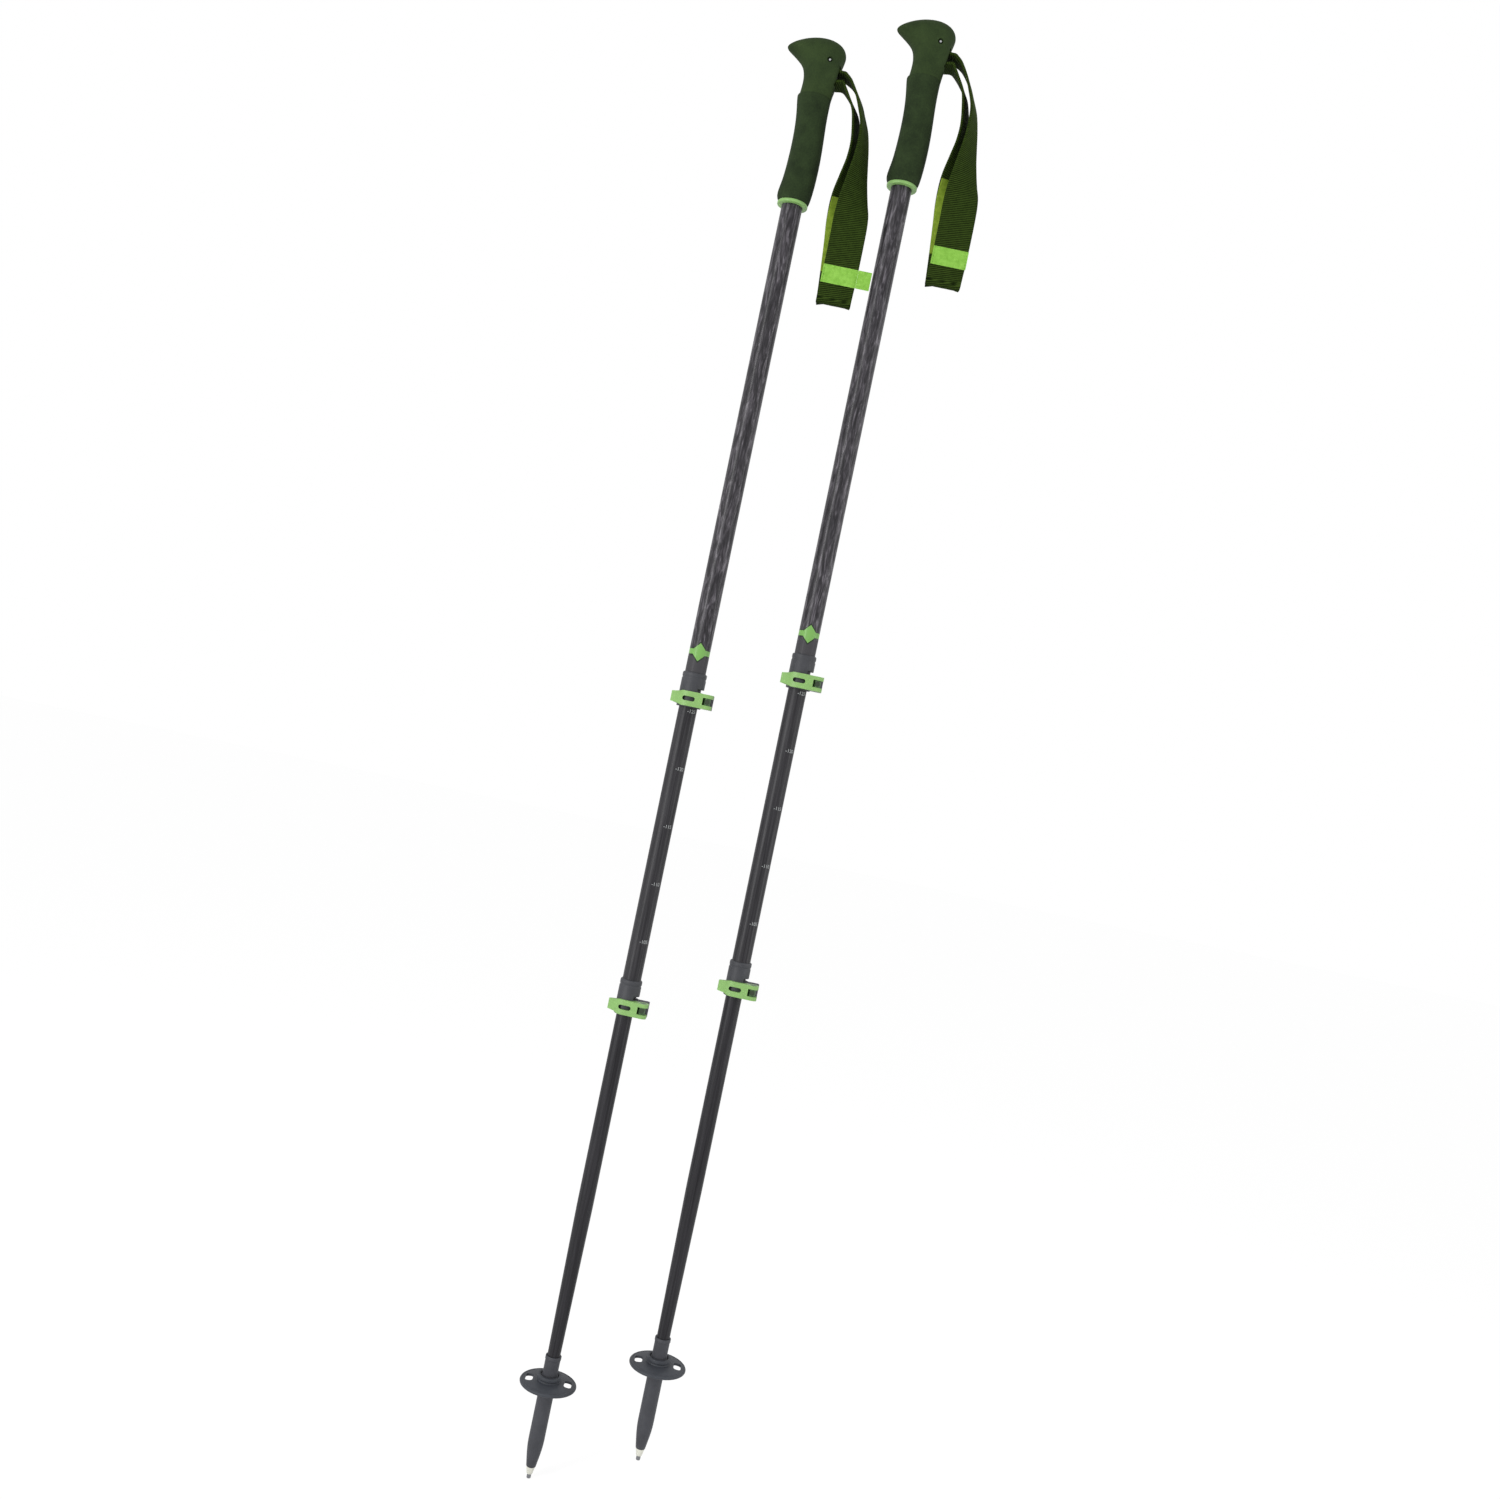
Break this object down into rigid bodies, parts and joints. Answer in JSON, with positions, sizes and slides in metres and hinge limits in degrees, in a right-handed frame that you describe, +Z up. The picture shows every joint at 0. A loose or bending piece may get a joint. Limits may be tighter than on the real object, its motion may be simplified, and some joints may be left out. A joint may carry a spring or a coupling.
{
  "type": "trekking poles",
  "caption": "Pair of telescoping trekking poles with lever clamps, foam grips, wrist straps, baskets and carbide tips.",
  "frame": {"origin": "centre of the left pole's carbide tip's end, on that pole's shaft axis", "axes": "+Z up the shafts, +X from the grips' beaks to their straps and on to the right pole, -Y the side that the levers wrap round"},
  "size_m": [0.1871, 0.049, 1.2866],
  "materials": {
    "carbon": "clear-coated carbon fibre",
    "guide_plastic": "plain moulded",
    "carbide": "ground carbide",
    "ferrule": "off-white moulded",
    "tip_plastic": "fine-grained charcoal",
    "basket_plastic": "fine-grained charcoal",
    "clamp_plastic": "satin charcoal",
    "lime_plastic": "satin lime green",
    "grip_foam": "closed-cell foam",
    "grip_rubber": "soft matt moulding",
    "core_plastic": "glass-filled",
    "steel": "turned and plated",
    "webbing": "ribbed polyester webbing",
    "lining": "brushed lining",
    "label": "woven label"
  },
  "bodies": {
    "left_upper": {"left_upper_tube": "carbon", "left_grip_core": "core_plastic", "left_grip_head": "grip_rubber", "left_grip_foam": "grip_foam", "left_grip_end_ring": "lime_plastic", "left_strap_pin": "steel", "left_strap_wedge": "core_plastic", "left_strap_tail": "webbing", "left_upper_clamp_sleeve": "clamp_plastic", "left_upper_clamp_barrel_nut": "steel"},
    "left_middle": {"left_middle_tube": "carbon", "left_middle_bushing": "guide_plastic", "left_lower_clamp_sleeve": "clamp_plastic", "left_lower_clamp_barrel_nut": "steel"},
    "left_lower": {"left_lower_tube": "carbon", "left_lower_bushing": "guide_plastic", "left_tip_body": "tip_plastic", "left_tip_ferrule": "ferrule", "left_carbide_tip": "carbide"},
    "left_upper_lever": {"left_upper_clamp_lever": "lime_plastic"},
    "left_upper_screw": {"left_upper_clamp_screw": "steel"},
    "left_lower_lever": {"left_lower_clamp_lever": "lime_plastic"},
    "left_lower_screw": {"left_lower_clamp_screw": "steel"},
    "left_basket": {"left_basket": "basket_plastic"},
    "left_strap": {"left_strap_webbing": "webbing", "left_strap_lining": "lining", "left_strap_label": "label", "left_strap_tab": "label"},
    "right_upper": {"right_upper_tube": "carbon", "right_grip_core": "core_plastic", "right_grip_head": "grip_rubber", "right_grip_foam": "grip_foam", "right_grip_end_ring": "lime_plastic", "right_strap_pin": "steel", "right_strap_wedge": "core_plastic", "right_strap_tail": "webbing", "right_upper_clamp_sleeve": "clamp_plastic", "right_upper_clamp_barrel_nut": "steel"},
    "right_middle": {"right_middle_tube": "carbon", "right_middle_bushing": "guide_plastic", "right_lower_clamp_sleeve": "clamp_plastic", "right_lower_clamp_barrel_nut": "steel"},
    "right_lower": {"right_lower_tube": "carbon", "right_lower_bushing": "guide_plastic", "right_tip_body": "tip_plastic", "right_tip_ferrule": "ferrule", "right_carbide_tip": "carbide"},
    "right_upper_lever": {"right_upper_clamp_lever": "lime_plastic"},
    "right_upper_screw": {"right_upper_clamp_screw": "steel"},
    "right_lower_lever": {"right_lower_clamp_lever": "lime_plastic"},
    "right_lower_screw": {"right_lower_clamp_screw": "steel"},
    "right_basket": {"right_basket": "basket_plastic"},
    "right_strap": {"right_strap_webbing": "webbing", "right_strap_lining": "lining", "right_strap_label": "label"}
  },
  "joints": [
    {"name": "left_middle_slide", "type": "slide", "parent": "left_upper", "child": "left_middle", "axis": [0, 0, 1], "range_m": [-0.15, 0.234]},
    {"name": "left_lower_slide", "type": "slide", "parent": "left_middle", "child": "left_lower", "axis": [0, 0, 1], "range_m": [0, 0.295]},
    {"name": "left_upper_lever_hinge", "type": "hinge", "parent": "left_upper", "child": "left_upper_lever", "pos_m": [0.0152, -0.00955, 0.67918], "axis": [0, 0, 1], "range_deg": [0, 120]},
    {"name": "left_upper_screw_turn", "type": "hinge", "parent": "left_upper", "child": "left_upper_screw", "pos_m": [0.0152, 0, 0.67918], "axis": [0, 1, 0], "range_deg": [-360, 360]},
    {"name": "left_lower_lever_hinge", "type": "hinge", "parent": "left_middle", "child": "left_lower_lever", "pos_m": [0.0142, -0.00955, 0.41208], "axis": [0, 0, 1], "range_deg": [0, 120]},
    {"name": "left_lower_screw_turn", "type": "hinge", "parent": "left_middle", "child": "left_lower_screw", "pos_m": [0.0142, 0, 0.41208], "axis": [0, 1, 0], "range_deg": [-360, 360]},
    {"name": "left_basket_turn", "type": "hinge", "parent": "left_lower", "child": "left_basket", "pos_m": [0, 0, 0.085], "axis": [0, 0, 1], "continuous": true},
    {"name": "left_strap_swing", "type": "hinge", "parent": "left_upper", "child": "left_strap", "pos_m": [0.0202, 0, 1.22193], "axis": [1, 0, 0], "range_deg": [-75, 75]},
    {"name": "right_middle_slide", "type": "slide", "parent": "right_upper", "child": "right_middle", "axis": [0, 0, 1], "range_m": [-0.15, 0.234]},
    {"name": "right_lower_slide", "type": "slide", "parent": "right_middle", "child": "right_lower", "axis": [0, 0, 1], "range_m": [0, 0.295]},
    {"name": "right_upper_lever_hinge", "type": "hinge", "parent": "right_upper", "child": "right_upper_lever", "pos_m": [0.1036, -0.00955, 0.71318], "axis": [0, 0, 1], "range_deg": [0, 120]},
    {"name": "right_upper_screw_turn", "type": "hinge", "parent": "right_upper", "child": "right_upper_screw", "pos_m": [0.1036, 0, 0.71318], "axis": [0, 1, 0], "range_deg": [-360, 360]},
    {"name": "right_lower_lever_hinge", "type": "hinge", "parent": "right_middle", "child": "right_lower_lever", "pos_m": [0.1026, -0.00955, 0.44608], "axis": [0, 0, 1], "range_deg": [0, 120]},
    {"name": "right_lower_screw_turn", "type": "hinge", "parent": "right_middle", "child": "right_lower_screw", "pos_m": [0.1026, 0, 0.44608], "axis": [0, 1, 0], "range_deg": [-360, 360]},
    {"name": "right_basket_turn", "type": "hinge", "parent": "right_lower", "child": "right_basket", "pos_m": [0.0884, 0, 0.119], "axis": [0, 0, 1], "continuous": true},
    {"name": "right_strap_swing", "type": "hinge", "parent": "right_upper", "child": "right_strap", "pos_m": [0.1086, 0, 1.25593], "axis": [1, 0, 0], "range_deg": [-75, 75]},
    {"name": "pair_part", "type": "slide", "parent": "left_upper", "child": "right_upper", "axis": [1, 0, 0], "range_m": [0, 0.3]}
  ]
}
